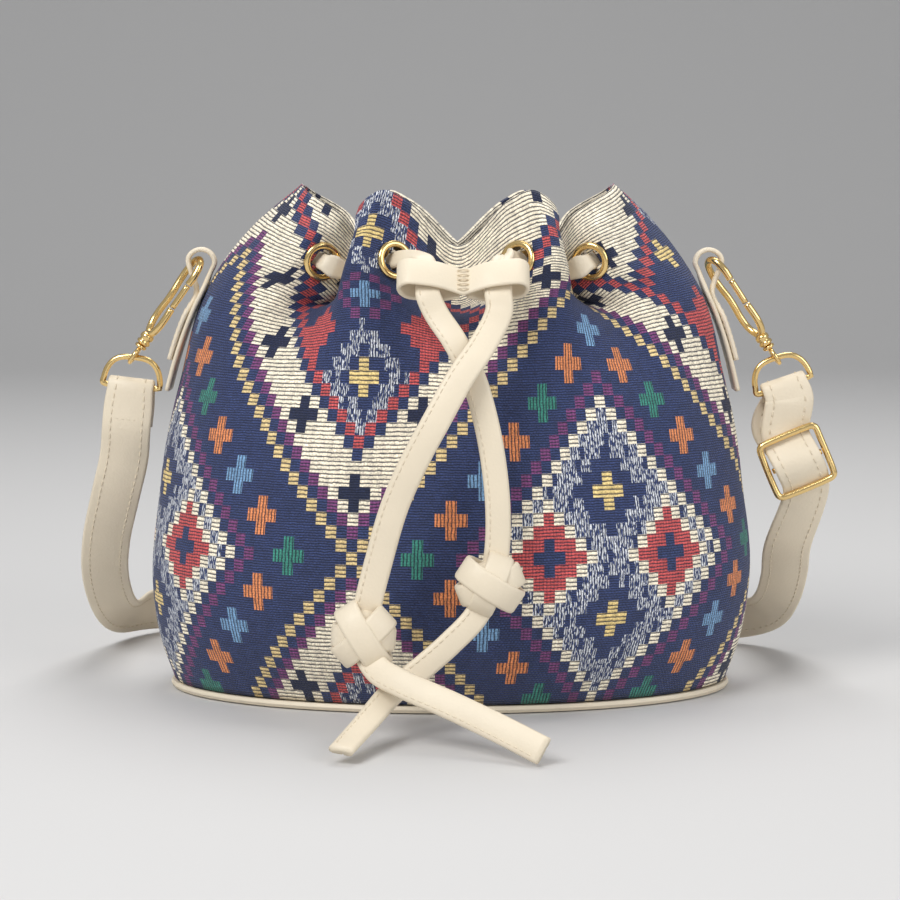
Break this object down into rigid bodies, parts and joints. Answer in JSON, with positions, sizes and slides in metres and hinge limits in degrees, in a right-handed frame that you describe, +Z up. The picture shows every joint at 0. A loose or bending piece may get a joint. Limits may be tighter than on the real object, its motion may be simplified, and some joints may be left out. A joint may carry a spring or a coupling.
{
  "type": "drawstring bucket bag",
  "caption": "Soft bucket bag of patterned woven cloth with an oval base, eyelets, a laced drawstring with knotted ends, and a shoulder strap clipped to side tabs.",
  "frame": {"origin": "centre of the oval base, on the surface that the bag stands on", "axes": "+X to the bag's right as seen from the front, -Y out of the front, +Z up"},
  "size_m": [0.3013, 0.257, 0.196],
  "materials": {
    "jacquard": "woven jacquard in navy, cream, tan, coral, orange, purple, green and light blue",
    "cream_leather": "smooth imitation leather, fine grain",
    "lining_cloth": "plain woven",
    "gold_metal": "polished light gold plating"
  },
  "bodies": {
    "root": {"back_panel": "jacquard", "base_panel": "cream_leather", "base_piping": "cream_leather", "clasp_swivel_left": "gold_metal", "clasp_swivel_right": "gold_metal", "drawstring": "cream_leather", "drawstring_end_left": "cream_leather", "drawstring_end_right": "cream_leather", "drawstring_tail_left": "cream_leather", "drawstring_tail_right": "cream_leather", "eyelet_01": "gold_metal", "eyelet_02": "gold_metal", "eyelet_03": "gold_metal", "eyelet_04": "gold_metal", "eyelet_05": "gold_metal", "eyelet_06": "gold_metal", "eyelet_07": "gold_metal", "eyelet_08": "gold_metal", "eyelet_09": "gold_metal", "eyelet_10": "gold_metal", "eyelet_11": "gold_metal", "eyelet_12": "gold_metal", "eyelet_washer_01": "gold_metal", "eyelet_washer_02": "gold_metal", "eyelet_washer_03": "gold_metal", "eyelet_washer_04": "gold_metal", "eyelet_washer_05": "gold_metal", "eyelet_washer_06": "gold_metal", "eyelet_washer_07": "gold_metal", "eyelet_washer_08": "gold_metal", "eyelet_washer_09": "gold_metal", "eyelet_washer_10": "gold_metal", "eyelet_washer_11": "gold_metal", "eyelet_washer_12": "gold_metal", "front_panel": "jacquard", "keeper": "cream_leather", "knot_left": "cream_leather", "knot_right": "cream_leather", "lining": "lining_cloth", "shoulder_strap": "cream_leather", "side_tab_left": "cream_leather", "side_tab_right": "cream_leather", "strap_ring_left": "gold_metal", "strap_ring_right": "gold_metal", "strap_slider_bar": "gold_metal", "strap_slider_frame": "gold_metal"},
    "hook_left": {"clasp_hook_left": "gold_metal"},
    "gate_left": {"clasp_gate_left": "gold_metal"},
    "hook_right": {"clasp_hook_right": "gold_metal"},
    "gate_right": {"clasp_gate_right": "gold_metal"}
  },
  "joints": [
    {"name": "swivel_left", "type": "hinge", "parent": "root", "child": "hook_left", "pos_m": [-0.11965, 0, 0.13377], "axis": [0.5714, 0, 0.8207], "range_deg": [-4, 4]},
    {"name": "gate_hinge_left", "type": "hinge", "parent": "hook_left", "child": "gate_left", "pos_m": [-0.10714, -0.00418, 0.14833], "axis": [-0.7438, -0.4226, 0.5178], "range_deg": [0, 22], "stiffness_Nm_per_rad": 0.003, "springref_deg": -11.46},
    {"name": "swivel_right", "type": "hinge", "parent": "root", "child": "hook_right", "pos_m": [0.12324, 0, 0.1335], "axis": [-0.567, 0, 0.8237], "range_deg": [-4, 4]},
    {"name": "gate_hinge_right", "type": "hinge", "parent": "hook_right", "child": "gate_right", "pos_m": [0.11402, -0.00418, 0.15033], "axis": [-0.7466, -0.4226, -0.5139], "range_deg": [0, 22], "stiffness_Nm_per_rad": 0.003, "springref_deg": -11.46}
  ]
}
